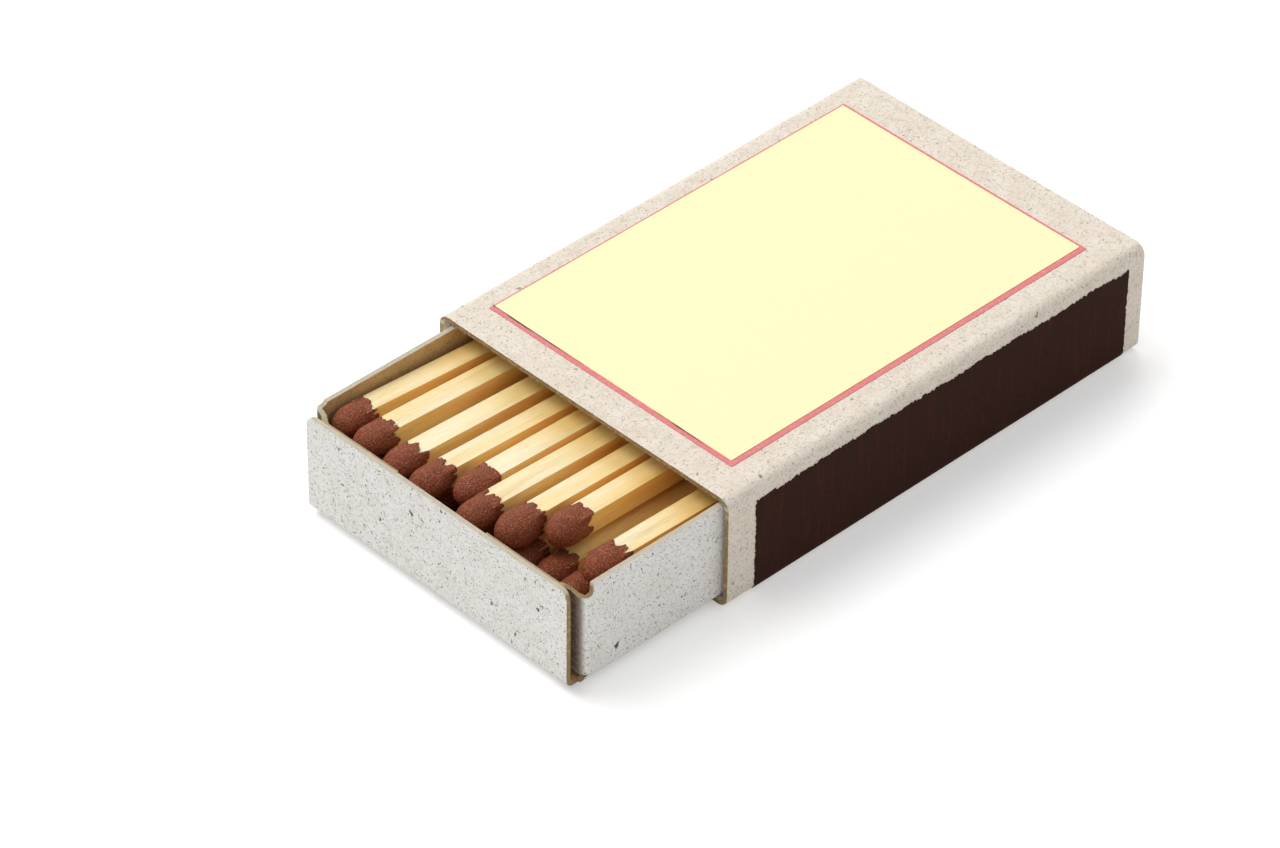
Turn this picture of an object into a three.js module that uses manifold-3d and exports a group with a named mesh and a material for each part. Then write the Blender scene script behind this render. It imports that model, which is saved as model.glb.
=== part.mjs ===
// A pocket matchbox of folded card with its tray part-way out, full of wooden safety matches.
// Millimetres, +Z up. The origin is the centre of the sleeve's underside, +X is the way the
// tray slides out at the front, and +Y is the side nearest to the viewer.
import * as THREE from "three";
import { mergeVertices } from "three/addons/utils/BufferGeometryUtils.js";
import Module from "manifold-3d";

const wasm = await Module();
wasm.setup();

// Sleeve
const SLEEVE_WIDTH = 35.0;
const SLEEVE_HEIGHT = 11.4;
const SLEEVE_BOARD = 0.45;
const SLEEVE_FOLD = 1.1; // outside radius of its four folds
const LAP_HEIGHT = 8.4; // glue flap inside the far wall, measured up from the sleeve's floor
const SLEEVE_OVER = 0.2; // how much longer the sleeve is than its tray

// Tray
const TAIL_ROOM = 6.35; // from the foremost match's tail to the tabs at the tray's rear
const TRAY_BOARD = 0.45;
const TRAY_FOLD = 0.8; // outside radius of its bottom folds and upright corners
const SIDE_GAP = 0.45; // between tray and sleeve, on each side
const UNDER_GAP = 0.1; // between tray and sleeve floor
const OVER_GAP = 0.3; // between the tray's brim and the sleeve's ceiling
const TRAY_OUT = 16.85; // how far the tray stands out of the sleeve's mouth
const TAB_LENGTH = 11.0; // corner tabs, glued behind the end panels
const TAB_SLIT = 0.35; // knife slit between a tab and the floor
const TAB_DROP = 0.35; // a tab's top edge below the brim
const PANEL_INSET = 0.55; // from the tray's side to the raw edge of an end panel
const PANEL_CORNER = 0.9; // rounded top corners of an end panel
const NOTCH_WIDTH = 1.9; // relief cut at the top of each upright corner
const NOTCH_DEPTH = 1.1;
const NOTCH_INSET = 0.5; // from the tray's end to the notch

// Prints and coats on the sleeve
const LABEL_MARGIN = { front: 3.45, rear: 4.05, near: 3.2, far: 2.5 }; // bare card round the label
const RED_BORDER = { front: 0.5, rear: 0.3, near: 0.55, far: 0.2 }; // red round the yellow field
const PAPER = 0.06;
const STRIKER_COAT = 0.08;
const STRIKER_FRONT = 3.1; // bare card from the mouth to the striker
const STRIKER_BACK = 1.95; // bare card from the striker to the rear edge
const STRIKER_TOP = 10.0;
const STRIKER_FOOT = 0.4; // where the coat ends on the rounded bottom fold

// Matches
const SPLINT = 2.05; // side of the square stick
const MATCH_LENGTH = 42.0; // tail to tip
const HEAD_RADIUS = 1.65; // of the fullest heads
const HEAD_LENGTH = 4.6;
const LOW_HEAD = 0.9; // size of a head of the two lower layers, against the fullest
const STICK_END = 1.7; // from the tip to the stick's end inside the head
const MATCH_GAP = 0.06; // least air between one match and the next
const TIP_GAP = 0.15; // from the foremost tips to the tabs at the tray's front
const CREST_GAP = 0.25; // from the highest heads up to the brim
const MOST_ROLL = 3; // degrees that a stick is turned about its own length
const ROW_BACK = 3.2; // in the lowest layer every second head stands back by this much

// The two upper layers, from the far wall to the near wall: how far a match stands back, its
// weight in the layer's spare width on the side of the match before it, the sideways drift of
// its tail, and its head's size against the fullest
const TOP_LAYER = [
  { back: 0.8, spare: 0, drift: 0.55, head: 0.9 },
  { back: 0.4, spare: 0.15, drift: 0.0, head: 0.9 },
  { back: 0.0, spare: 0.95, drift: -0.3, head: 0.9 },
  { back: 0.0, spare: 0.3, drift: -0.55, head: 0.92 },
  { back: 2.2, spare: 0.4, drift: -0.8, head: 0.9 },
  { back: 0.0, spare: 0, drift: -0.8, head: 0.9 },
  { back: 1.15, spare: 0.4, drift: -1.1, head: 1.0 },
  { back: 4.2, spare: 0, drift: -1.3, head: 0.94 },
  { back: 3.1, spare: 2.47, drift: -1.2, head: 0.97 },
];
const TOP_SPARE_LEFT = 0.65; // weight of the spare width left beside the near wall
const MIDDLE_LAYER = [
  { back: 0.5, spare: 0, drift: 0.3, head: LOW_HEAD },
  { back: 4.5, spare: 0.3, drift: 0.0, head: LOW_HEAD },
  { back: 0.6, spare: 0.6, drift: 0.1, head: LOW_HEAD },
  { back: 1.35, spare: 0.6, drift: -0.4, head: LOW_HEAD },
  { back: 4.2, spare: 0, drift: -0.5, head: LOW_HEAD },
  { back: 0.8, spare: 0, drift: -0.4, head: LOW_HEAD },
  { back: 4.0, spare: 0, drift: -0.5, head: LOW_HEAD },
  { back: 1.35, spare: 0, drift: -0.6, head: LOW_HEAD },
  { back: 2.15, spare: 0, drift: -0.8, head: LOW_HEAD },
  { back: 1.55, spare: 0, drift: -0.7, head: LOW_HEAD },
];
const MIDDLE_SPARE_LEFT = 2.3;

// Sizes that follow from the ones above
const TRAY_LENGTH = 4 * TRAY_BOARD + TIP_GAP + MATCH_LENGTH + TAIL_ROOM;
const SLEEVE_LENGTH = TRAY_LENGTH + SLEEVE_OVER;
const SLEEVE_FRONT = SLEEVE_LENGTH / 2;
const INNER_FAR = -SLEEVE_WIDTH / 2 + 2 * SLEEVE_BOARD; // face of the glue flap
const INNER_NEAR = SLEEVE_WIDTH / 2 - SLEEVE_BOARD;
const CEILING = SLEEVE_HEIGHT - SLEEVE_BOARD;

const TRAY_FAR = INNER_FAR + SIDE_GAP;
const TRAY_NEAR = INNER_NEAR - SIDE_GAP;
const TRAY_BOTTOM = SLEEVE_BOARD + UNDER_GAP;
const BRIM = CEILING - OVER_GAP;
const TRAY_FRONT = SLEEVE_FRONT + TRAY_OUT;
const TRAY_REAR = TRAY_FRONT - TRAY_LENGTH;
const FLOOR = TRAY_BOTTOM + TRAY_BOARD;
const WELL_FAR = TRAY_FAR + TRAY_BOARD;
const WELL_NEAR = TRAY_NEAR - TRAY_BOARD;
const WELL_FRONT = TRAY_FRONT - 2 * TRAY_BOARD; // inner face of the front tabs

const ARC_STEPS = 5; // flat faces in a quarter turn
const GLUE = 0.02; // how deep two glued layers of one blank are joined
const PAST = 1; // how far a cutting body reaches past what it cuts

const card = { color: 0xcfc6b8, roughness: 0.95, metalness: 0 };
const trayCard = { color: 0xc9c8c6, roughness: 0.95, metalness: 0 };
const looks = {
  sleeve: card,
  tray: trayCard,
  label: { color: 0xe3888a, roughness: 0.8, metalness: 0 },
  panel: { color: 0xfdf8c4, roughness: 0.75, metalness: 0 },
  striker: { color: 0x34211b, roughness: 0.9, metalness: 0 },
  match: { color: 0xe9cf93, roughness: 0.7, metalness: 0 },
};

// Booleans

function toSolid(geometry) {
  const bare = geometry.clone();
  bare.deleteAttribute("normal");
  bare.deleteAttribute("uv");
  const merged = mergeVertices(bare, 1e-4);
  const mesh = new wasm.Mesh({
    numProp: 3,
    vertProperties: new Float32Array(merged.attributes.position.array),
    triVerts: new Uint32Array(merged.index.array),
  });
  return new wasm.Manifold(mesh);
}

function toGeometry(solid) {
  const mesh = solid.getMesh();
  const geometry = new THREE.BufferGeometry();
  geometry.setAttribute("position", new THREE.BufferAttribute(mesh.vertProperties, 3));
  geometry.setIndex(new THREE.BufferAttribute(mesh.triVerts, 1));
  geometry.computeVertexNormals();
  return geometry;
}

function block(x0, x1, y0, y1, z0, z1) {
  const geometry = new THREE.BoxGeometry(x1 - x0, y1 - y0, z1 - z0);
  return geometry.translate((x0 + x1) / 2, (y0 + y1) / 2, (z0 + z1) / 2);
}

// An outline in Y and Z, drawn out along X from x0 to x1.
function alongX(shape, x0, x1) {
  const geometry = new THREE.ExtrudeGeometry(shape, {
    depth: x1 - x0,
    bevelEnabled: false,
    curveSegments: ARC_STEPS,
  });
  const axes = new THREE.Matrix4().makeBasis(
    new THREE.Vector3(0, 1, 0),
    new THREE.Vector3(0, 0, 1),
    new THREE.Vector3(1, 0, 0),
  );
  return geometry.applyMatrix4(axes).translate(x0, 0, 0);
}

// An outline in Z and X, drawn out along Y from y0 to y1.
function alongY(shape, y0, y1) {
  const geometry = new THREE.ExtrudeGeometry(shape, {
    depth: y1 - y0,
    bevelEnabled: false,
    curveSegments: ARC_STEPS,
  });
  const axes = new THREE.Matrix4().makeBasis(
    new THREE.Vector3(0, 0, 1),
    new THREE.Vector3(1, 0, 0),
    new THREE.Vector3(0, 1, 0),
  );
  return geometry.applyMatrix4(axes).translate(0, y0, 0);
}

// An outline in X and Y, drawn up along Z from z0 to z1.
function alongZ(shape, z0, z1) {
  const geometry = new THREE.ExtrudeGeometry(shape, {
    depth: z1 - z0,
    bevelEnabled: false,
    curveSegments: ARC_STEPS,
  });
  return geometry.translate(0, 0, z0);
}

// A rectangle from (u0, v0) to (u1, v1) with its low and high corners (in v) rounded.
function roundedOutline(path, u0, u1, v0, v1, low, high) {
  const quarter = Math.PI / 2;
  path.moveTo(u0 + low, v0);
  path.lineTo(u1 - low, v0);
  path.absarc(u1 - low, v0 + low, low, -quarter, 0, false);
  path.lineTo(u1, v1 - high);
  path.absarc(u1 - high, v1 - high, high, 0, quarter, false);
  path.lineTo(u0 + high, v1);
  path.absarc(u0 + high, v1 - high, high, quarter, 2 * quarter, false);
  path.lineTo(u0, v0 + low);
  path.absarc(u0 + low, v0 + low, low, 2 * quarter, 3 * quarter, false);
  return path;
}

// Sleeve: one sheet wrapped round four folds, its last flap glued inside the far wall

// The sleeve's outside, or the outside of a coat of the given thickness on it.
function sleeveOutline(coat = 0) {
  const half = SLEEVE_WIDTH / 2 + coat;
  const fold = SLEEVE_FOLD + coat;
  return roundedOutline(new THREE.Shape(), -half, half, -coat, SLEEVE_HEIGHT + coat, fold, fold);
}

function sleeveHollow() {
  const half = SLEEVE_WIDTH / 2 - SLEEVE_BOARD;
  const fold = SLEEVE_FOLD - SLEEVE_BOARD;
  return roundedOutline(new THREE.Path(), -half, half, SLEEVE_BOARD, CEILING, fold, fold);
}

function makeSleeve() {
  const outline = sleeveOutline();
  outline.holes.push(sleeveHollow());
  const tube = toSolid(alongX(outline, -SLEEVE_FRONT, SLEEVE_FRONT));
  const flapTop = SLEEVE_BOARD + LAP_HEIGHT;
  const flap = toSolid(
    block(-SLEEVE_FRONT, SLEEVE_FRONT, INNER_FAR - SLEEVE_BOARD - GLUE, INNER_FAR, SLEEVE_BOARD - GLUE, flapTop),
  );
  return toGeometry(tube.add(flap));
}

// Tray: one blank, its sides and ends folded up and its corner tabs glued behind the ends

function trayBand() {
  const front = TRAY_FRONT - TRAY_BOARD;
  const rear = TRAY_REAR + TRAY_BOARD;
  const plan = roundedOutline(new THREE.Shape(), rear, front, TRAY_FAR, TRAY_NEAR, TRAY_FOLD, TRAY_FOLD);
  const section = roundedOutline(new THREE.Shape(), TRAY_FAR, TRAY_NEAR, TRAY_BOTTOM, BRIM + TRAY_FOLD, TRAY_FOLD, 0.01);
  const outside = toSolid(alongZ(plan, TRAY_BOTTOM, BRIM));
  return outside.intersect(toSolid(alongX(section, rear, front)));
}

function trayWell() {
  const fold = TRAY_FOLD - TRAY_BOARD;
  const front = TRAY_FRONT - 2 * TRAY_BOARD;
  const rear = TRAY_REAR + 2 * TRAY_BOARD;
  const plan = roundedOutline(new THREE.Shape(), rear, front, WELL_FAR, WELL_NEAR, fold, fold);
  const section = roundedOutline(new THREE.Shape(), WELL_FAR, WELL_NEAR, FLOOR, BRIM + PAST, fold, 0.01);
  const space = toSolid(alongZ(plan, FLOOR, BRIM + PAST));
  return space.intersect(toSolid(alongX(section, rear, front)));
}

// The opening between the two tabs of one end, seen from inside the tray.
function betweenTabs(inner, outer) {
  return toSolid(
    block(inner, outer, TRAY_FAR + TAB_LENGTH, TRAY_NEAR - TAB_LENGTH, FLOOR, BRIM + PAST),
  );
}

// The air over both tabs of one end, between the side walls.
function overTabs(inner, outer) {
  return toSolid(block(inner, outer, WELL_FAR, WELL_NEAR, BRIM - TAB_DROP, BRIM + PAST));
}

// The knife slit under both tabs of one end.
function underTabs(inner, outer) {
  return toSolid(
    block(inner, outer, TRAY_FAR - PAST, TRAY_NEAR + PAST, FLOOR, FLOOR + TAB_SLIT),
  );
}

function endPanel(towards) {
  const face = towards > 0 ? TRAY_FRONT : TRAY_REAR;
  const low = TRAY_BOTTOM;
  const across = roundedOutline(
    new THREE.Shape(), TRAY_FAR + PANEL_INSET, TRAY_NEAR - PANEL_INSET, low, BRIM, 0.01, PANEL_CORNER,
  );
  const inner = face - towards * (TRAY_BOARD + GLUE);
  const sheet = toSolid(alongX(across, Math.min(face, inner), Math.max(face, inner)));
  const fold = new THREE.Shape();
  const centre = face - towards * TRAY_FOLD;
  fold.moveTo(low, centre);
  fold.absarc(low + TRAY_FOLD, centre, TRAY_FOLD, Math.PI, Math.PI - towards * Math.PI / 2, towards > 0);
  fold.lineTo(BRIM + PAST, face);
  fold.lineTo(BRIM + PAST, centre);
  fold.closePath();
  return sheet.intersect(toSolid(alongY(fold, TRAY_FAR, TRAY_NEAR)));
}

// The U-shaped relief cut at the top of an upright corner, through one side wall.
function notch(x, y0, y1) {
  const half = NOTCH_WIDTH / 2;
  const cut = new THREE.Shape();
  const foot = BRIM - NOTCH_DEPTH + half;
  cut.moveTo(BRIM + PAST, x - half);
  cut.lineTo(BRIM + PAST, x + half);
  cut.lineTo(foot, x + half);
  cut.absarc(foot, x, half, Math.PI / 2, Math.PI * 1.5, false);
  cut.closePath();
  return toSolid(alongY(cut, y0, y1));
}

function makeTray() {
  let tray = trayBand().subtract(trayWell());
  const ends = [
    [TRAY_FRONT - 2 * TRAY_BOARD - GLUE, TRAY_FRONT],
    [TRAY_REAR, TRAY_REAR + 2 * TRAY_BOARD + GLUE],
  ];
  for (const [inner, outer] of ends) {
    tray = tray.subtract(betweenTabs(inner, outer));
    tray = tray.subtract(overTabs(inner, outer));
    tray = tray.subtract(underTabs(inner, outer));
  }
  tray = tray.add(endPanel(1)).add(endPanel(-1));
  const notchCentre = NOTCH_INSET + NOTCH_WIDTH / 2;
  for (const x of [TRAY_FRONT - notchCentre, TRAY_REAR + notchCentre]) {
    tray = tray.subtract(notch(x, TRAY_FAR - PAST, WELL_FAR + GLUE));
    tray = tray.subtract(notch(x, WELL_NEAR - GLUE, TRAY_NEAR + PAST));
  }
  return toGeometry(tray);
}

// Label and strikers

// A sheet of paper on the sleeve's top, inside the given edges, with its underside at z.
function makePaper(edges, z) {
  return block(edges.rear, edges.front, edges.far, edges.near, z, z + PAPER);
}

function inset(edges, margin) {
  return {
    rear: edges.rear + margin.rear,
    front: edges.front - margin.front,
    far: edges.far + margin.far,
    near: edges.near - margin.near,
  };
}

const topEdges = { rear: -SLEEVE_FRONT, front: SLEEVE_FRONT, far: -SLEEVE_WIDTH / 2, near: SLEEVE_WIDTH / 2 };
const labelEdges = inset(topEdges, LABEL_MARGIN);
const fieldEdges = inset(labelEdges, RED_BORDER);

// The striking coat of one side, which runs down over the rounded bottom fold.
function makeStriker(side) {
  const x0 = -SLEEVE_FRONT + STRIKER_BACK;
  const x1 = SLEEVE_FRONT - STRIKER_FRONT;
  const coat = toSolid(alongX(sleeveOutline(STRIKER_COAT), x0, x1));
  const card = toSolid(alongX(sleeveOutline(), x0, x1));
  const inner = side * (SLEEVE_WIDTH / 2 - SLEEVE_FOLD);
  const outer = side * (SLEEVE_WIDTH / 2 + PAST);
  const band = block(x0, x1, Math.min(inner, outer), Math.max(inner, outer), STRIKER_FOOT, STRIKER_TOP);
  return toGeometry(coat.subtract(card).intersect(toSolid(band)));
}

// Matches

const STICK_REACH = (SPLINT / 2) * (Math.cos(THREE.MathUtils.degToRad(MOST_ROLL))
  + Math.sin(THREE.MathUtils.degToRad(MOST_ROLL))); // half the width of a stick that is turned

// A match along +X with the middle of its head at the origin; size is that of its head.
function makeMatch(size) {
  const halfHead = (size * HEAD_LENGTH) / 2;
  const stick = toSolid(
    block(halfHead - MATCH_LENGTH, halfHead - STICK_END, -SPLINT / 2, SPLINT / 2, -SPLINT / 2, SPLINT / 2),
  );
  const rings = 7;
  const profile = [];
  for (let i = 0; i <= rings; i++) {
    const turn = (i / rings) * Math.PI;
    const radius = i === 0 || i === rings ? 0 : size * HEAD_RADIUS * Math.sin(turn) ** 0.65;
    profile.push(new THREE.Vector2(radius, -Math.cos(turn) * halfHead));
  }
  const head = new THREE.LatheGeometry(profile, 10).rotateZ(-Math.PI / 2);
  return toGeometry(stick.add(toSolid(head)));
}

// Least distance between two neighbours of a layer: head beside head, or head beside stick.
function leastPitch(a, b) {
  const along = Math.min(1, Math.abs(a.back - b.back) / HEAD_LENGTH);
  const heads = (a.head + b.head) * HEAD_RADIUS * Math.sqrt(1 - along ** 2);
  const fuller = Math.max(a.head, b.head);
  return Math.max(heads, fuller * HEAD_RADIUS + STICK_REACH) + MATCH_GAP;
}

function lowestLayer() {
  const width = WELL_NEAR - WELL_FAR - 2 * (HEAD_RADIUS + MATCH_GAP);
  const front = { back: 0, head: LOW_HEAD };
  const behind = { back: ROW_BACK, head: LOW_HEAD };
  const count = Math.floor(width / leastPitch(front, behind)) + 1;
  return Array.from({ length: count }, (_, i) => ({
    back: 0.4 + (i % 2) * ROW_BACK + 0.25 * Math.sin(5 * i),
    spare: 1,
    drift: 0.12 * Math.sin(3 * i),
    head: LOW_HEAD,
  }));
}

// Sideways places of a layer's heads and tails, in order from the far wall.
function spread(layer, spareLeft) {
  const first = WELL_FAR + layer[0].head * HEAD_RADIUS + MATCH_GAP;
  const last = WELL_NEAR - HEAD_RADIUS - MATCH_GAP;
  const steps = layer.slice(1).map((match, i) => leastPitch(layer[i], match));
  const used = steps.reduce((sum, step) => sum + step, 0);
  const weights = layer.slice(1).reduce((sum, match) => sum + match.spare, 0) + spareLeft;
  const spare = last - first - used;
  let y = first;
  let tailY = first + layer[0].drift;
  return layer.map((match, i) => {
    if (i > 0) {
      y += steps[i - 1] + (spare * match.spare) / weights;
      tailY = Math.max(y + match.drift, tailY + 2 * STICK_REACH + MATCH_GAP);
    }
    return { ...match, y, tailY };
  });
}

function makeMatches() {
  const layers = [
    spread(lowestLayer(), 0),
    spread(MIDDLE_LAYER, MIDDLE_SPARE_LEFT),
    spread(TOP_LAYER, TOP_SPARE_LEFT),
  ];
  const foremost = WELL_FRONT - TIP_GAP;
  const lowHead = FLOOR + LOW_HEAD * HEAD_RADIUS + MATCH_GAP;
  const highHead = BRIM - CREST_GAP - HEAD_RADIUS;
  const lowTail = FLOOR + STICK_REACH + MATCH_GAP;
  const pile = new THREE.Group();
  let number = 0;
  layers.forEach((layer, level) => {
    const headZ = lowHead + ((highHead - lowHead) * level) / (layers.length - 1);
    const tailZ = lowTail + level * (2 * STICK_REACH + MATCH_GAP);
    layer.forEach((match, i) => {
      number += 1;
      const halfHead = (match.head * HEAD_LENGTH) / 2;
      const headToTail = MATCH_LENGTH - halfHead;
      const yaw = Math.asin((match.y - match.tailY) / headToTail);
      const pitch = Math.asin((headZ - tailZ) / headToTail);
      const roll = THREE.MathUtils.degToRad(MOST_ROLL * Math.sin(2 * i + level));
      const name = `match_${String(number).padStart(2, "0")}`;
      const mesh = paint(name, makeMatch(match.head), looks.match);
      mesh.rotation.set(roll, -pitch, yaw, "ZYX");
      mesh.position.set(foremost - match.back - halfHead, match.y, headZ);
      pile.add(mesh);
    });
  });
  return pile;
}

// Assembly

function paint(name, geometry, look) {
  const mesh = new THREE.Mesh(geometry, new THREE.MeshStandardMaterial(look));
  mesh.name = name;
  return mesh;
}

const sleeveGroup = new THREE.Group();
sleeveGroup.add(paint("sleeve", makeSleeve(), looks.sleeve));
sleeveGroup.add(paint("label_sheet", makePaper(labelEdges, SLEEVE_HEIGHT), looks.label));
sleeveGroup.add(paint("label_panel", makePaper(fieldEdges, SLEEVE_HEIGHT + PAPER), looks.panel));
sleeveGroup.add(paint("striker_near", makeStriker(1), looks.striker));
sleeveGroup.add(paint("striker_far", makeStriker(-1), looks.striker));

const trayGroup = new THREE.Group();
trayGroup.add(paint("tray", makeTray(), looks.tray));
trayGroup.add(makeMatches());

const matchbox = new THREE.Group();
matchbox.add(sleeveGroup, trayGroup);

export default matchbox;
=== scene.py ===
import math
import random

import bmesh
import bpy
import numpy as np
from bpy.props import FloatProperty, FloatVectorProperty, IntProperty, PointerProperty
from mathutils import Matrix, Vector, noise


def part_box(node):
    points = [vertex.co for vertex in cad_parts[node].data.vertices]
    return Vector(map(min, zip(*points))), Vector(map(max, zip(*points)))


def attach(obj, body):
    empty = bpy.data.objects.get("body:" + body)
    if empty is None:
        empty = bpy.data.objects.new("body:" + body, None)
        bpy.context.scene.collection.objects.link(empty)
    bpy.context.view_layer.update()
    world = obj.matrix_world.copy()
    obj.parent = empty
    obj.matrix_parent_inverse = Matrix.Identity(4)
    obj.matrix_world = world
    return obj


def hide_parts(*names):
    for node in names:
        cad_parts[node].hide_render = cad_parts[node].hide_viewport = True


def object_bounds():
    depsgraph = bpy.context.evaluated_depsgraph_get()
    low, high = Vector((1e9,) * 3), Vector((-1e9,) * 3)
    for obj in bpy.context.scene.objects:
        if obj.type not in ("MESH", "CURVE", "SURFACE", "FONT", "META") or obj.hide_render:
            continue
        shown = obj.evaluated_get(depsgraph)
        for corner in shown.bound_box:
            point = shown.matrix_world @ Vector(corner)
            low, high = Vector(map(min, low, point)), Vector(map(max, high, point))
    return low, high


bl_info = {
    "name": "Sliding matchbox",
    "version": (1, 0, 0),
    "blender": (4, 5, 0),
    "location": "3D View > Sidebar > Matchbox",
    "description": "Folded card sleeve and tray, paper label, striking coats and dipped wooden matches",
    "category": "Object",
}

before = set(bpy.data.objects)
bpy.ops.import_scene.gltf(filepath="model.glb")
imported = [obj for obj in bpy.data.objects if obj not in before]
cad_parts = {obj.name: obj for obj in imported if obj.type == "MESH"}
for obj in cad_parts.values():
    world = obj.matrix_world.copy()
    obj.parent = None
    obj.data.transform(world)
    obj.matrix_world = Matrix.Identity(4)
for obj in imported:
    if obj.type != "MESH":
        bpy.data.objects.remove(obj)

CAD_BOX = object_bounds()
MM = 0.001
SAME_PLACE = 1e-6
THIN = 0.1 * MM
HAIR = 0.01 * MM
CRISP_ANGLE = math.radians(48)

SLEEVE_LOW, SLEEVE_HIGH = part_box("sleeve")
TRAY_LOW, TRAY_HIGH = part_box("tray")
MATCHES = sorted(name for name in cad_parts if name.startswith("match_"))


def linear(code):
    """A colour from its sRGB hex value, as linear red, green and blue."""
    parts = [int(code[i:i + 2], 16) / 255 for i in (1, 3, 5)]
    return tuple(c / 12.92 if c <= 0.04045 else ((c + 0.055) / 1.055) ** 2.4 for c in parts)


def length(name, description, mm):
    """A length property with its default in millimetres."""
    return FloatProperty(
        name=name, description=description, default=mm * MM, min=0, unit="LENGTH",
        subtype="DISTANCE", precision=5,
    )


def colour(name, description, code):
    """A colour property with its default as an sRGB hex value."""
    return FloatVectorProperty(
        name=name, description=description, default=linear(code), min=0, max=1, size=3,
        subtype="COLOR",
    )


# Sizes and colours


class MatchboxCardSizes(bpy.types.PropertyGroup):
    board: length("Board", "Thickness of the card", 0.45)
    sleeve_fold: length("Sleeve fold", "Outside radius of the sleeve's four folds", 1.1)
    flap: length("Glue flap", "Height of the flap glued inside the far wall", 8.4)
    sag: length("Sag", "How far the sleeve's top lies below its folds in the middle", 0.05)
    tray_fold: length("Tray fold", "Outside radius of the tray's folds", 0.8)
    tab: length("Tab", "Length of a corner tab behind an end panel", 11.0)
    tab_drop: length("Tab drop", "A tab's top edge below the brim", 0.35)
    panel_inset: length("Panel inset", "From the tray's side to an end panel's raw edge", 0.6)
    panel_corner: length("Panel corner", "Radius of an end panel's top corners", 0.9)
    notch_width: length("Notch width", "Width of the relief cut at an upright corner", 1.9)
    notch_depth: length("Notch depth", "Depth of the relief cut at an upright corner", 1.1)
    notch_inset: length("Notch inset", "From the tray's end to the relief cut", 0.5)
    corner_groove: length("Corner groove", "Depth of the groove beside an end panel's raw edge", 0.85)
    ragged: length("Ragged edge", "How uneven the cut edges are", 0.07)
    fibre_spacing: length("Fibre spacing", "Between loose fibres on a cut edge", 0.45)
    fibre_length: length("Fibre length", "Of the longest loose fibres", 0.45)
    fibre_thickness: length("Fibre thickness", "Radius of a loose fibre", 0.016)


class MatchboxMatchSizes(bpy.types.PropertyGroup):
    side: length("Side", "Side of the square stick", 2.05)
    stick_end: length("Stick end", "From the tip to the stick's end inside the head", 2.8)
    head_length: length("Head length", "Length of the fullest heads", 4.6)
    head_radius: length("Head radius", "Radius of the fullest heads", 1.65)
    coat: length("Coat", "Thickness of the head compound where it ends on the stick", 0.13)
    teeth: length("Teeth", "How uneven the rear edge of a head is", 1.5)
    grit: length("Grit", "Height of the grains on a head", 0.05)
    grain: length("Grain", "Depth of the sawn or peeled grain on a stick", 0.035)
    bow: length("Bow", "Most sideways bow of a stick", 0.08)
    seed: IntProperty(name="Seed", description="Seed of everything that varies", default=7)


class MatchboxColours(bpy.types.PropertyGroup):
    sleeve: colour("Sleeve card", "Warm grey-beige of the sleeve", "#F0E6D8")
    tray: colour("Tray card", "Paler, cooler grey of the tray", "#F8F6F2")
    # Painted light and shade: the tray's inner face gets a browner, warmer copy of its card, standing in for
    # bounce light and shade inside the tray
    inner_face_shade: colour("Tray lining", "Browner inner face of the tray card", "#D6B27C")
    edge: colour("Raw edge", "Brown core of the card where it is cut", "#B09870")
    fleck: colour("Fleck", "Dark fibre bits in the recycled card", "#4A3B31")
    fibre: colour("Fibre", "Loose pulp hairs", "#EDE3CF")
    label_red: colour("Label red", "Printed border of the label", "#E38080")
    label_yellow: colour("Label yellow", "Plain field of the label", "#FCF6C4")
    striker: colour("Striker", "Striking coat", "#351C14")
    wood: colour("Wood", "Pale splint wood", "#FFEDC6")
    head: colour("Head", "Match head compound", "#914B2D")
    floor: colour("Floor", "Plain floor", "#F4F4F4")


def sizes(context):
    return context.scene.matchbox_card, context.scene.matchbox_match


# Meshes


class Sheet:
    """Card or paper as one surface of quads, welded where its panels meet."""

    def __init__(self):
        self.points = []
        self.faces = []

    def panel(self, points, closed=False):
        """Adds a grid of points, rows by columns, whose normal is columns cross rows."""
        rows, columns = points.shape[:2]
        first = len(self.points)
        self.points += [tuple(p) for p in points.reshape(-1, 3)]
        last = columns if closed else columns - 1
        for row in range(rows - 1):
            for column in range(last):
                a = first + row * columns + column
                b = first + row * columns + (column + 1) % columns
                self.faces.append((a, b, b + columns, a + columns))

    def build(self, name, materials, thickness, warp=None):
        """The sheet with its thickness inwards; its materials are face, rim and inner face."""
        points = np.array(self.points)
        if warp:
            points = np.array([warp(p) for p in points])
        mesh = bpy.data.meshes.new(name)
        mesh.from_pydata([tuple(p) for p in points], [], self.faces)
        work = bmesh.new()
        work.from_mesh(mesh)
        bmesh.ops.remove_doubles(work, verts=work.verts, dist=SAME_PLACE)
        for face in work.faces:
            face.smooth = True
        work.to_mesh(mesh)
        work.free()
        for material in materials:
            mesh.materials.append(material)
        piece = link(name, mesh)
        solid = piece.modifiers.new("Board", "SOLIDIFY")
        solid.thickness = thickness
        solid.offset = -1
        solid.use_even_offset = thickness > THIN
        solid.use_rim = True
        solid.material_offset_rim = 1 if len(materials) > 1 else 0
        solid.material_offset = 2 if len(materials) > 2 else 0
        sharp = piece.modifiers.new("Crisp rim", "EDGE_SPLIT")
        sharp.split_angle = CRISP_ANGLE
        return plain(piece)


def plain(piece, place=None):
    """The piece as a plain mesh at the origin, with its modifiers applied."""
    graph = bpy.context.evaluated_depsgraph_get()
    mesh = bpy.data.meshes.new_from_object(piece.evaluated_get(graph), depsgraph=graph)
    mesh.name = name = piece.name
    bpy.data.objects.remove(piece)
    if place is not None:
        mesh.transform(place)
    return link(name, mesh)


def link(name, data):
    """A new object in the scene with that mesh, lamp or camera."""
    made = bpy.data.objects.new(name, data)
    bpy.context.scene.collection.objects.link(made)
    return made


def hand_over(piece, body, slot, node_name=None):
    """Hides the CAD node that a piece replaces and parents the piece to its body's empty; slot is not used."""
    if node_name:
        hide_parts(node_name)
    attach(piece, body)


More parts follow.
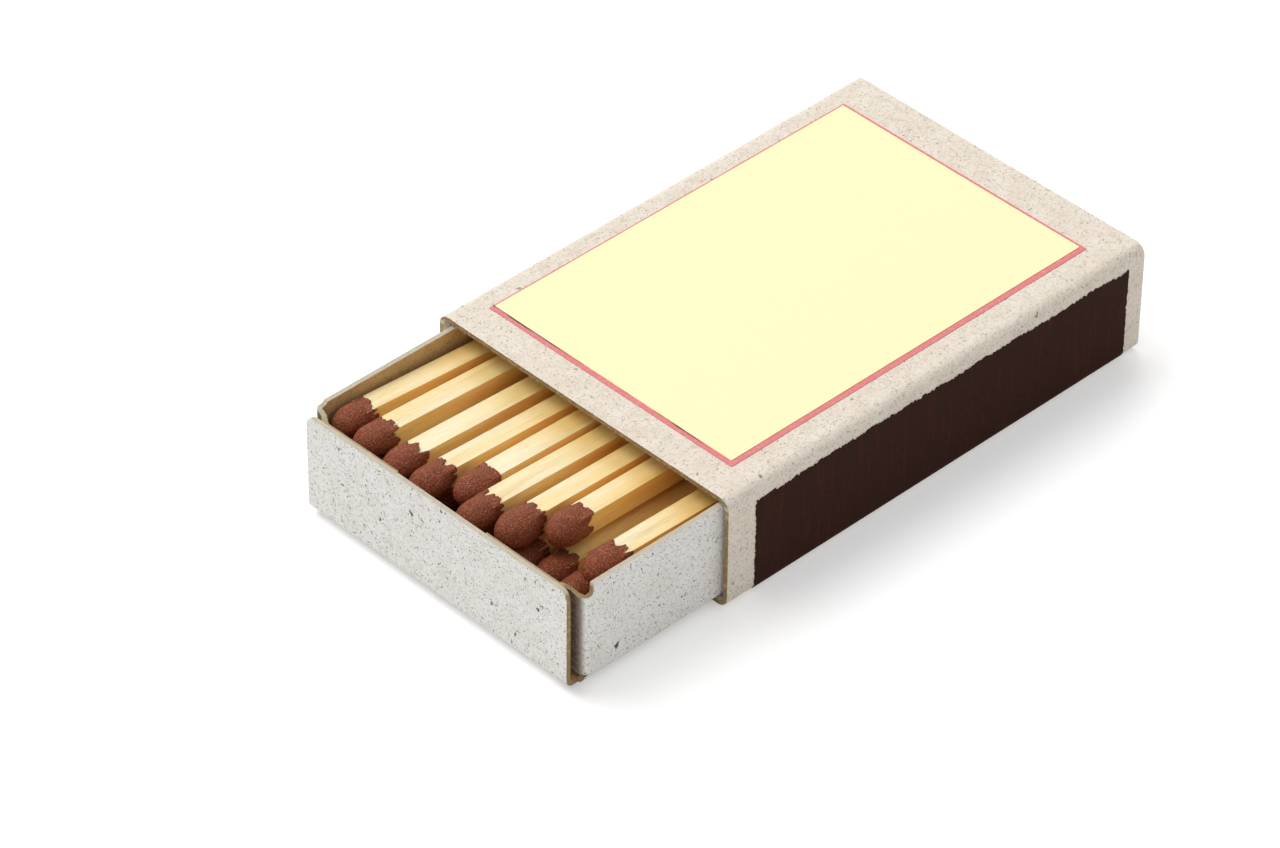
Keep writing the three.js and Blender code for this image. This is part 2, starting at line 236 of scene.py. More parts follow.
def rough(*at, scale=1.0, seed=0.0):
    """Smooth noise from -1 to 1; scale is in turns per millimetre."""
    x, y, z = (at + (0.0, 0.0))[:3]
    k = scale / MM
    return noise.noise(Vector((x * k + 17.3 * seed, y * k - 9.1 * seed, z * k + 4.7 * seed)))


def ragged(*at, waves):
    """Depth of a torn edge at a place; a wave is its depth, turns per millimetre and seed."""
    return sum(depth * abs(rough(*at, scale=scale, seed=seed)) for depth, scale, seed in waves)


def share(value):
    """The value held between 0 and 1."""
    return min(1.0, max(0.0, value))


def steps(start, end, step):
    """Numbers from start to end, about step apart."""
    count = max(1, round(abs(end - start) / step))
    return list(np.linspace(start, end, count + 1))


def graded(start, end, fine, coarse, growth=1.35):
    """Numbers from start to end, fine at both ends and coarse between."""
    half = (end - start) / 2
    marks = [0.0]
    step = fine
    while marks[-1] + step < half:
        marks.append(marks[-1] + step)
        step = min(coarse, step * growth)
    marks = [m for m in marks if half - m > fine / 2]
    return [start + m for m in marks] + [start + half] + [end - m for m in reversed(marks)]


def arc(a, b, radius, first, last, step=10):
    """Points on a circle about (a, b) between two angles in degrees."""
    angles = [math.radians(k) for k in steps(first, last, step)]
    return [(a + radius * math.cos(k), b + radius * math.sin(k)) for k in angles]


# Nodes and materials


MATH, VECTOR_MATH = "ShaderNodeMath", "ShaderNodeVectorMath"
NOISE, CELLS = "ShaderNodeTexNoise", "ShaderNodeTexVoronoi"
STRETCH, APART, TOGETHER = "ShaderNodeMapping", "ShaderNodeSeparateXYZ", "ShaderNodeCombineXYZ"
RESCALE = "ShaderNodeMapRange"
MOVE, PAINT, REALIZE = "GeometryNodeSetPosition", "GeometryNodeSetMaterial", "GeometryNodeRealizeInstances"
KEEP, SHADE = "GeometryNodeStoreNamedAttribute", "GeometryNodeSetShadeSmooth"


def add(tree, kind, inputs=None, **settings):
    """Adds a node with its settings; inputs are values, sockets, or nodes whose first output feeds it."""
    made = tree.nodes.new(kind)
    for name, value in settings.items():
        setattr(made, name, value)
    for key, value in (inputs or {}).items():
        if isinstance(value, bpy.types.Node):
            value = value.outputs[0]
        if isinstance(value, bpy.types.NodeSocket):
            tree.links.new(value, made.inputs[key])
        else:
            made.inputs[key].default_value = value
    return made


def work_out(tree, operation, *operands):
    """A sum on numbers, sockets, nodes and further sums, each a tuple that starts with its operation."""
    inputs = {i: work_out(tree, *o) if isinstance(o, tuple) else o for i, o in enumerate(operands)}
    return add(tree, MATH, inputs, operation=operation)


def new_material(name):
    """An empty node material and its tree."""
    material = bpy.data.materials.new(name)
    material.use_nodes = True
    material.node_tree.nodes.clear()
    return material, material.node_tree


def place_mm(tree, attribute=None):
    """Object coordinates, or the place that an attribute holds, in millimetres."""
    if attribute:
        place = add(tree, "ShaderNodeAttribute", attribute_name=attribute).outputs["Vector"]
    else:
        place = add(tree, "ShaderNodeTexCoord").outputs["Object"]
    return add(tree, VECTOR_MATH, {0: place, "Scale": 1 / MM}, operation="SCALE")


def shaded(tone, *factors):
    """A colour times one factor, or times one each for red, green and blue."""
    return tuple(min(1.0, c * f) for c, f in zip(tone, factors * 3 if len(factors) == 1 else factors))


def eased(tree, *limits):
    """The product of eased steps, each a value with where it is 0 and where it is 1."""
    made = [
        add(tree, RESCALE, {"Value": value, "From Min": zero, "From Max": one}, interpolation_type="SMOOTHSTEP")
        for value, zero, one in limits
    ]
    product = made[0]
    for factor in made[1:]:
        product = work_out(tree, "MULTIPLY", product, factor)
    return product


def lay_over(tree, base, *layers):
    """Colours over a base; a layer is a mask, or a value with where it hides none and all, and a colour."""
    for *mask, tone in layers:
        cover = eased(tree, mask) if len(mask) == 3 else mask[0]
        under, over = ((*c, 1.0) if isinstance(c, tuple) else c for c in (base, tone))
        base = add(tree, "ShaderNodeMix", {0: cover, 6: under, 7: over}, data_type="RGBA").outputs[2]
    return base


def finish_material(tree, base, height, depth, roughness, **sockets):
    """Principled surface with a bump whose depth is in millimetres."""
    bump = add(tree, "ShaderNodeBump", {"Height": height, "Distance": depth * MM, "Strength": 1.0})
    inputs = {"Base Color": base, "Normal": bump, "Roughness": roughness}
    inputs.update({key.replace("_", " "): value for key, value in sockets.items()})
    shader = add(tree, "ShaderNodeBsdfPrincipled", inputs)
    add(tree, "ShaderNodeOutputMaterial", {"Surface": shader})


def recycled_card(name, tone, fleck, warmth, speckle, groove=False):
    """Recycled grey card: a matt felt of pulp with dark and brown bits of fibre."""
    material, tree = new_material(name)
    at = place_mm(tree)
    cloud = add(tree, NOISE, {"Vector": at, "Scale": 0.45, "Detail": 3.0})
    pulp = add(tree, NOISE, {"Vector": at, "Scale": 3.2, "Detail": 4.0, "Roughness": 0.65})
    shade = shaded(tone, *warmth)
    base = lay_over(tree, tone, (cloud, 0.3, 0.75, shade), (pulp, 0.42, 0.72, shaded(shade, 0.86)))

    # Fine specks of 0.08 to 0.15 mm, then rarer bits of up to 0.5 mm, drawn out like fibres
    wander = add(tree, NOISE, {"Vector": at, "Scale": 1.6, "Detail": 2.0}).outputs[1]
    pull = {0: wander, 1: (1.1, 1.1, 1.1), 2: at}
    bent = add(tree, VECTOR_MATH, pull, operation="MULTIPLY_ADD")
    for per_mm, most, rare, strength in (
        (7.5, 0.6, 0.66, 0.85), (3.4, 0.36, 0.84, 0.95), (0.8, 0.24, 0.86, 0.95),
    ):
        cell = add(tree, CELLS, {"Vector": bent, "Scale": per_mm, "Randomness": 1.0})
        chance = add(tree, "ShaderNodeSeparateColor", {0: cell.outputs["Color"]}).outputs
        reach = add(tree, RESCALE, {
            "Value": chance[0], "From Min": rare, "From Max": 1.0, "To Max": most,
        })
        mask = eased(tree, (work_out(tree, "SUBTRACT", reach, cell.outputs["Distance"]), 0.0, 0.1))
        bits = lay_over(tree, fleck, (chance[1], (0.07, 0.065, 0.065)))
        base = lay_over(tree, base, (work_out(tree, "MULTIPLY", mask, strength * speckle), bits))

    if groove:
        # Painted shade: a darker patch in the fold beside an end panel's raw edge, standing in for the shadow
        # in the groove
        x, y, _ = add(tree, APART, {0: at}).outputs
        end, side = TRAY_HIGH.x / MM, TRAY_HIGH.y / MM
        dirt_and_shade = eased(
            tree, (x, end - 1.75, end - 1.2), (x, end - 0.3, end - 0.5),
            (work_out(tree, "ABSOLUTE", y), side - 2.4, side - 1.4), (pulp, -0.3, 0.55),
        )
        base = lay_over(tree, base, (dirt_and_shade, shaded(fleck, 2.0, 1.9, 1.6)))
    hair = add(tree, NOISE, {"Vector": at, "Scale": 7.0, "Detail": 3.0, "Distortion": 1.5})
    height = work_out(tree, "ADD", pulp, hair)
    finish_material(tree, base, height, 0.035, 0.92, Specular_IOR_Level=0.2)
    return material


def raw_board(name, tone):
    """Cut edge of the same card: torn brown core in thin layers, with loose pale fibre."""
    material, tree = new_material(name)
    at = place_mm(tree)
    tear = add(tree, NOISE, {"Vector": at, "Scale": 7.0, "Detail": 4.0, "Roughness": 0.7})
    broad = add(tree, NOISE, {"Vector": at, "Scale": 1.4, "Detail": 2.0})
    # The cut edges are paler in a band at the height of the tray's brim, and torn and dirty elsewhere
    z = add(tree, APART, {0: at}).outputs[2]
    brim = TRAY_HIGH.z / MM
    at_brim = eased(tree, (z, brim - 0.45, brim - 0.2), (z, brim + 0.15, brim + 0.05))
    base = lay_over(
        tree, shaded(tone, 0.5), (tear, 0.32, 0.58, tone), (broad, 0.5, 0.8, shaded(tone, 1.5)),
        (work_out(tree, "MULTIPLY", at_brim, 0.75), (0.74, 0.68, 0.55)),
    )
    finish_material(tree, base, tear, 0.12, 0.95, Specular_IOR_Level=0.15)
    return material


def pulp_fibre(name, tone):
    """Loose paper fibre: pale and matt, brown where it carries dirt."""
    material, tree = new_material(name)
    dirt_and_shade = add(tree, NOISE, {"Vector": place_mm(tree), "Scale": 1.3, "Detail": 1.0})
    base = lay_over(tree, tone, (dirt_and_shade, 0.45, 0.6, shaded(tone, 0.5)))
    finish_material(tree, base, dirt_and_shade, 0.01, 0.9, Specular_IOR_Level=0.2)
    return material


def printed_paper(name, tone, wear, dark_line_x=None):
    """Thin uncoated paper: flat ink with faint mottle; rule is the x of a thin dark line, broken by noise,
    along the yellow field's front edge.
    """
    material, tree = new_material(name)
    at = place_mm(tree)
    mottle = add(tree, NOISE, {"Vector": at, "Scale": 2.2, "Detail": 3.0})
    worn = add(tree, NOISE, {"Vector": at, "Scale": 6.0, "Detail": 3.0, "Roughness": 0.7})
    pale = tuple(c + (1 - c) * wear for c in tone)
    base = lay_over(tree, tone, (mottle, 0.3, 0.8, shaded(tone, 0.985)), (worn, 0.5, 0.75, pale))
    if dark_line_x is not None:
        x, y, _ = add(tree, APART, {0: at}).outputs
        patchy = add(tree, NOISE, {"Vector": at, "Scale": 0.25, "Detail": 2.0})
        reach = add(tree, RESCALE, {
            "Value": patchy, "From Min": 0.38, "From Max": 0.62, "To Min": dark_line_x - 0.06, "To Max": dark_line_x + 0.12,
        })
        beyond = work_out(tree, "SUBTRACT", reach, x)
        line = eased(tree, (beyond, -0.03, 0.03), (x, dark_line_x - 0.1, dark_line_x - 0.05), (y, 12.0, 8.0))
        base = lay_over(tree, base, (line, (0.04, 0.045, 0.035)))
    finish_material(tree, base, worn, 0.008, 0.75, Specular_IOR_Level=0.3)
    return material


def striking_coat(name, tone):
    """Red phosphorus and glass powder in glue: dark red-brown, matt, with fine grit and scuffs."""
    material, tree = new_material(name)
    at = place_mm(tree)
    grit = add(tree, NOISE, {"Vector": at, "Scale": 6.5, "Detail": 3.0, "Roughness": 0.7})
    smear = add(tree, STRETCH, {"Vector": at, "Scale": (2.6, 1.0, 0.22)})
    streak = add(tree, NOISE, {"Vector": smear, "Scale": 1.0, "Detail": 3.0})
    base = lay_over(
        tree, shaded(tone, 0.7), (grit, 0.35, 0.7, shaded(tone, 1.25)),
        (streak, 0.52, 0.75, shaded(tone, 1.5, 1.1, 1.1)),
    )
    finish_material(tree, base, grit, 0.03, 0.85, Specular_IOR_Level=0.12)
    return material


def splint_wood(name, tone):
    """Aspen splint: pale, straight-grained and slightly translucent, with painted light and shade: cream on lit
    tops, dark gold between the sticks.
    """
    material, tree = new_material(name)
    grain = place_mm(tree, "grain")
    line, broad, pore, wave = (
        add(tree, NOISE, {
            "Vector": add(tree, STRETCH, {"Vector": grain, "Scale": (along, across, across)}),
            "Scale": 1.0, "Detail": detail, "Roughness": fine,
        })
        for along, across, detail, fine in (
            (0.045, 2.6, 4.0, 0.6), (0.05, 0.45, 2.0, 0.5), (0.9, 9.0, 2.0, 0.5), (0.11, 0.5, 1.0, 0.5),
        )
    )

    # Painted light and shade: cream on the tops that the light meets, painted shade in dark gold on the sides,
    # lower down and inside the sleeve near the mouth
    up = add(tree, APART, {0: add(tree, "ShaderNodeNewGeometry").outputs["Normal"]}).outputs[2]
    x, _, z = add(tree, APART, {0: place_mm(tree)}).outputs
    highest = max(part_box(match)[1].z for match in MATCHES) / MM
    mouth = SLEEVE_HIGH.x / MM
    lit_mask = eased(tree, (up, 0.1, 0.8), (z, highest - 3.6, highest - 1.7))
    out_of_sleeve_shade = eased(tree, (x, mouth - 1.0, mouth + 8.0))
    shade_gold = lay_over(tree, shaded(tone, 1.0, 0.74, 0.38), (out_of_sleeve_shade, shaded(tone, 1.0, 0.86, 0.55)))
    top = lay_over(tree, shaded(tone, 0.99, 0.84, 0.52), (out_of_sleeve_shade, tone))
    base = clear = lay_over(tree, shade_gold, (lit_mask, top))
    for value, none, full, shade in (
        (broad, 0.4, 0.7, (0.97, 0.87, 0.62)),
        (line, 0.48, 0.8, (0.94, 0.82, 0.56)),
        (pore, 0.58, 0.85, (0.9, 0.8, 0.62)),
    ):
        darker = add(tree, VECTOR_MATH, {0: clear, 1: shade}, operation="MULTIPLY")
        base = lay_over(tree, base, (value, none, full, darker))
    height = work_out(tree, "ADD", ("ADD", line, pore), ("MULTIPLY", wave, 9.0))
    finish_material(
        tree, base, height, 0.06, 0.4, Specular_IOR_Level=0.7, Subsurface_Weight=0.3,
        Subsurface_Radius=(1.0, 0.45, 0.15), Subsurface_Scale=0.0012,
    )
    return material


def head_compound(name, tone):
    """Safety match compound: red-brown dipped paste, dry and granular, with tiny painted highlights."""
    material, tree = new_material(name)
    at = place_mm(tree, "grain")
    grit, lump, glint_spots = (
        add(tree, NOISE, {"Vector": at, "Scale": scale, "Detail": detail, "Roughness": fine})
        for scale, detail, fine in ((5.5, 3.0, 0.75), (1.2, 2.0, 0.5), (9.0, 1.0, 0.5))
    )
    cell = add(tree, CELLS, {"Vector": at, "Scale": 7.0}).outputs["Distance"]
    # Painted highlights: tiny spots of the paste's colour made much lighter, standing in for glints
    painted_glint = tuple(min(1.0, c * 2.2 + 0.05) for c in tone)
    base = lay_over(
        tree, shaded(tone, 0.42), (grit, 0.3, 0.66, shaded(tone, 1.3)),
        (lump, 0.5, 0.8, shaded(tone, 0.75)), (glint_spots, 0.62, 0.68, painted_glint),
    )
    finish_material(tree, base, work_out(tree, "SUBTRACT", grit, cell), 0.09, 0.58, Specular_IOR_Level=0.35)
    return material


def pale_floor(name, tone):
    """Seamless white paper: it lights the object as paper does, and shows white where no shadow falls."""
    material, tree = new_material(name)
    paper = add(tree, "ShaderNodeBsdfDiffuse", {"Color": (*tone, 1.0)})
    glow = add(tree, "ShaderNodeEmission", {"Color": (1, 1, 1, 1), "Strength": 0.3})
    seen = add(tree, "ShaderNodeAddShader", {0: paper, 1: glow})
    rays = add(tree, "ShaderNodeLightPath").outputs
    either = ("MAXIMUM", rays["Is Camera Ray"], rays["Is Glossy Ray"])
    shown = work_out(tree, "MAXIMUM", either, rays["Is Transmission Ray"])
    mix = add(tree, "ShaderNodeMixShader", {0: shown, 1: paper, 2: seen})
    add(tree, "ShaderNodeOutputMaterial", {"Surface": mix})
    return material


def finish(kind):
    """The finish of that name, made once from the panel's colours."""
    colours = bpy.context.scene.matchbox_colours
    tones = {key: tuple(getattr(colours, key)) for key in MatchboxColours.__annotations__}
    fleck = tones["fleck"]
    name, make, *given = {
        "sleeve": ("Recycled beige card", recycled_card, tones["sleeve"], fleck, (0.93, 0.9, 0.87), 0.62),
        # The tray's card also carries the painted shade in the folds beside its end panels
        "tray": ("Recycled grey card", recycled_card, tones["tray"], fleck, (0.93, 0.92, 0.89), 1.0, True),
        # The inner face's painted bounce light and shade, as a browner copy of the card
        "inner_face_shade": ("Recycled brown card", recycled_card, tones["inner_face_shade"], fleck, (0.9, 0.86, 0.78), 0.6),
        "edge": ("Cut card edge", raw_board, tones["edge"]),
        "fibre": ("Bleached pulp fibre", pulp_fibre, tones["fibre"]),
        "red": ("Red printed paper", printed_paper, tones["label_red"], 0.3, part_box("label_panel")[1].x / MM),
        "yellow": ("Pale yellow paper", printed_paper, tones["label_yellow"], 0.0),
        "striker": ("Red phosphorus striking coat", striking_coat, tones["striker"]),
        "wood": ("Aspen splint wood", splint_wood, tones["wood"]),
        "head": ("Match head compound", head_compound, tones["head"]),
        "floor": ("White studio paper", pale_floor, tones["floor"]),
    }[kind]
    return bpy.data.materials.get(name) or make(name, *given)


# Stage

# The photo's camera, fitted to the box's corners: its axes, its place in millimetres, its lens
CAMERA_RIGHT = (-0.71962, 0.69433, 0.00727)
CAMERA_UP = (-0.43304, -0.45694, 0.77697)
CAMERA_BACK = (0.54280, 0.55597, 0.62950)
CAMERA_PLACE = (288.892, 277.055, 319.358)
SENSOR_WIDTH, FOCAL_LENGTH = 36.0, 165.94
FLOOR_HALF = 4.0
LAMP_DISTANCE = 0.9


class MATCHBOX_OT_stage(bpy.types.Operator):
    """Makes the camera, the floor, the lamp and the world"""

    bl_idname = "matchbox.stage"
    bl_label = "Stage"

    def execute(self, context):
        scene = context.scene
        scene.view_settings.view_transform = "Standard"

        lens = bpy.data.cameras.new("Camera")
        lens.sensor_width = SENSOR_WIDTH
        lens.lens = FOCAL_LENGTH
        lens.clip_start = 0.01
        lens.clip_end = 50.0
        camera = link("Camera", lens)
        turn = Matrix((CAMERA_RIGHT, CAMERA_UP, CAMERA_BACK)).transposed().to_4x4()
        camera.matrix_world = Matrix.Translation(Vector(CAMERA_PLACE) * MM) @ turn
        scene.camera = camera

        corners = [(x * FLOOR_HALF, y * FLOOR_HALF, 0) for x, y in ((-1, -1), (1, -1), (1, 1), (-1, 1))]
        mesh = bpy.data.meshes.new("floor")
        mesh.from_pydata(corners, [], [(0, 1, 2, 3)])
        mesh.materials.append(finish("floor"))
        link("floor", mesh)

        for name, direction, size, energy in (
            ("Soft box", (0.22, -0.5, 0.85), 0.7, 4.15),
            ("Back soft box", (-0.6, -0.62, 0.7), 0.5, 1.5),
        ):
            lamp = bpy.data.lights.new(name, "AREA")
            lamp.shape = "DISK"
            lamp.size = size
            lamp.energy = energy
            box = link(name, lamp)
            towards = Vector(direction).normalized()
            box.location = towards * LAMP_DISTANCE
            box.rotation_euler = towards.to_track_quat("Z", "Y").to_euler()

        world = bpy.data.worlds.new("White room")
        world.use_nodes = True
        world.node_tree.nodes.clear()
        tree = world.node_tree
        seen = add(tree, "ShaderNodeLightPath").outputs["Is Camera Ray"]
        strength = add(tree, RESCALE, {"Value": seen, "To Min": 0.58, "To Max": 1.0})
        sky = add(tree, "ShaderNodeBackground", {"Color": (1, 1, 1, 1), "Strength": strength})
        add(tree, "ShaderNodeOutputWorld", {"Surface": sky})
        scene.world = world
        return {"FINISHED"}


# Sleeve

BITE_REACH = 0.8 * MM
LEAST_BITE = 0.001 * MM
FLAP_SHARE = 0.97


def sleeve_sag(x, y):
    """How far the sleeve's top lies below the CAD's at a place, in metres."""
    card = bpy.context.scene.matchbox_card
    across = 1 - (2 * y / (SLEEVE_HIGH.y - SLEEVE_LOW.y)) ** 2
    broad = 0.5 + 0.5 * rough(x, y, scale=0.06, seed=1)
    return card.sag * max(0.0, across) * (0.5 + 0.5 * broad)


def wall_bow(x, z):
    """How far the sleeve's side walls bow inwards at a place, in metres."""
    depth = 0.05 * MM * (0.5 + 0.5 * rough(x, z, scale=0.12, seed=3))
    return depth * share((z - SLEEVE_LOW.z) / (2 * MM))


def ring(half, low, high, fold, step):
    """Points round a section with four equal folds, from the middle of the underside towards +Y."""
    corners = (
        (half - fold, low + fold, -90), (half - fold, high - fold, 0),
        (-half + fold, high - fold, 90), (-half + fold, low + fold, 180),
    )
    points = []
    last = middle = (0.0, low)
    for bend in [arc(y, z, fold, first, first + 90, 9) for y, z, first in corners] + [[middle]]:
        gap = step / max(math.dist(last, bend[0]), step)
        points += [tuple(a + (b - a) * k for a, b in zip(last, bend[0])) for k in steps(0, 1, gap)[:-1]]
        points += bend[:-1]
        last = bend[-1]
    return points


class MATCHBOX_OT_sleeve(bpy.types.Operator):
    """Makes the folded card sleeve with its glued flap"""

    bl_idname = "matchbox.sleeve"
    bl_label = "Sleeve"

    def execute(self, context):
        card, _ = sizes(context)
        half = (SLEEVE_HIGH.y - SLEEVE_LOW.y) / 2
        low, high = SLEEVE_LOW.z, SLEEVE_HIGH.z
        loop = ring(half, low, high, card.sleeve_fold, 0.3 * MM)
        stations = graded(SLEEVE_LOW.x, SLEEVE_HIGH.x, 0.12 * MM, 1.2 * MM)
        sheet = Sheet()
        sheet.panel(np.array([[(x, y, z) for y, z in loop] for x in stations]), closed=True)

        def warp(p):
            x, y, z = p
            to_end = min(x - SLEEVE_LOW.x, SLEEVE_HIGH.x - x)
            bite = card.ragged * ragged(y, z, waves=((0.6, 1.1, 2 + (x > 0)), (0.4, 4.0, 4)))
            x -= math.copysign((bite + LEAST_BITE) * max(0.0, 1 - to_end / BITE_REACH), x)
            if z > high - card.sleeve_fold - HAIR:
                z -= sleeve_sag(x, y)
            if abs(y) > half - card.sleeve_fold:
                y -= math.copysign(wall_bow(x, z), y)
            return x, y, z

        sleeve = sheet.build("card_sleeve", [finish("sleeve"), finish("edge")], card.board, warp)

        face = SLEEVE_LOW.y + 2 * card.board
        foot = low + card.board
        points = []
        for x in graded(SLEEVE_LOW.x + 0.15 * MM, SLEEVE_HIGH.x - 0.15 * MM, 0.25 * MM, 1.0 * MM):
            edge = foot + card.flap - card.ragged * ragged(x, waves=((2.0, 1.2, 6),))
            points.append([(x, face, foot + (edge - foot) * k) for k in steps(0, 1, 0.05)])
        flap = Sheet()
        flap.panel(np.array(points))
        inner = flap.build("card_flap", [finish("sleeve"), finish("edge")], card.board * FLAP_SHARE)

        hand_over(join("sleeve_card", [sleeve, inner]), "sleeve_body", "sleeve_card", "sleeve")
        return {"FINISHED"}


def join(name, pieces):
    """One mesh object from several, which are removed."""
    work = bmesh.new()
    materials = []
    for piece in pieces:
        slots = list(piece.data.materials)
        materials += [m for m in slots if m not in materials]
        first = len(work.faces)
        work.from_mesh(piece.data)
        work.faces.ensure_lookup_table()
        for face in work.faces[first:]:
            face.material_index = materials.index(slots[face.material_index])
        bpy.data.objects.remove(piece)
    mesh = bpy.data.meshes.new(name)
    work.to_mesh(mesh)
    work.free()
    for m in materials:
        mesh.materials.append(m)
    return link(name, mesh)


# Label and strikers

LABEL_WAVE = 0.03 * MM
NICK_REACH = 0.7 * MM


class MATCHBOX_OT_label(bpy.types.Operator):
    """Makes the pasted label: a red-edged sheet and its plain yellow field"""

    bl_idname = "matchbox.label"
    bl_label = "Label"

    def execute(self, context):
        for node_name, piece_name, kind, slot, seed in (
            ("label_sheet", "label_border", "red", "label_red", 11),
            ("label_panel", "label_field", "yellow", "label_yellow", 12),
        ):
            lo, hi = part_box(node_name)
            points = []
            for x in steps(lo.x, hi.x, 0.5 * MM):
                row = []
                for y in steps(lo.y, hi.y, 0.5 * MM):
                    dx = ragged(y, waves=((LABEL_WAVE, 0.4, seed),)) * (x in (lo.x, hi.x))
                    dy = ragged(x, waves=((LABEL_WAVE, 0.4, seed + 3),)) * (y in (lo.y, hi.y))
                    row.append((x - math.copysign(dx, x), y - math.copysign(dy, y), hi.z - sleeve_sag(x, y)))
                points.append(row)
            sheet = Sheet()
            sheet.panel(np.array(points).transpose(1, 0, 2)[:, ::-1][::-1])
            hand_over(sheet.build(piece_name, [finish(kind)], hi.z - lo.z), "sleeve_body", slot, node_name)
        return {"FINISHED"}


class MATCHBOX_OT_strikers(bpy.types.Operator):
    """Makes the striking coat on each long side"""

    bl_idname = "matchbox.strikers"
    bl_label = "Strikers"

    def execute(self, context):
        card, _ = sizes(context)
        half = (SLEEVE_HIGH.y - SLEEVE_LOW.y) / 2
        fold = card.sleeve_fold
        for node_name, side in (("striker_near", 1), ("striker_far", -1)):
            lo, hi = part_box(node_name)
            coat = (hi.y if side > 0 else -lo.y) - half
            radius = fold + coat
            start = math.degrees(math.asin(min(1.0, (fold - lo.z) / radius)))
            profile = arc(half - fold, fold, radius, -start, 0, math.degrees(0.12))
            rows = []
            for x in steps(lo.x, hi.x, 0.12 * MM):
                waves = ((0.3, 0.45, 21 * side), (0.22, 1.6, 22 * side), (0.45, 4.5, 24 * side))
                step_down = 0.12 * (rough(x, scale=0.28, seed=23 * side) > 0.12)
                top = hi.z + (0.22 - ragged(x, waves=waves) - step_down) * MM
                column = [(x, side * y, z) for y, z in profile[:-1]]
                column += [(x, side * (half + coat), fold + (top - fold) * k) for k in steps(0, 1, 0.02)]
                rows.append(column)
            points = np.array(rows)
            for column in points.transpose(1, 0, 2):
                z = column[0, 2]
                for end, tip in ((1, hi.x), (-1, lo.x)):
                    nick = ragged(z, waves=((0.12 * MM, 0.8, 31 + end), (0.3 * MM, 4.0, 33 + end)))
                    column[:, 0] -= end * nick * np.maximum(0.0, 1 - np.abs(tip - column[:, 0]) / NICK_REACH)
            inwards = [wall_bow(x, z) for x, _, z in points.reshape(-1, 3)]
            points[..., 1] -= side * np.array(inwards).reshape(points.shape[:2])
            sheet = Sheet()
            sheet.panel(points if side > 0 else points[::-1])
            piece = sheet.build("striking_" + node_name[8:], [finish("striker")], coat)
            for vertex in piece.data.vertices:
                vertex.co.y = min(max(vertex.co.y, lo.y), hi.y)
            hand_over(piece, "sleeve_body", "striker", node_name)
        return {"FINISHED"}


# Tray

# Heights of the rows of a wall as shares, closer towards the cut edge
WALL_ROWS = (0, 0.12, 0.24, 0.36, 0.48, 0.6, 0.7, 0.78, 0.84, 0.88, 0.91, 0.94, 0.96, 0.98, 1.0)
TAB_RISE = 0.9 * MM
GROOVE_REACH = 2.2 * MM


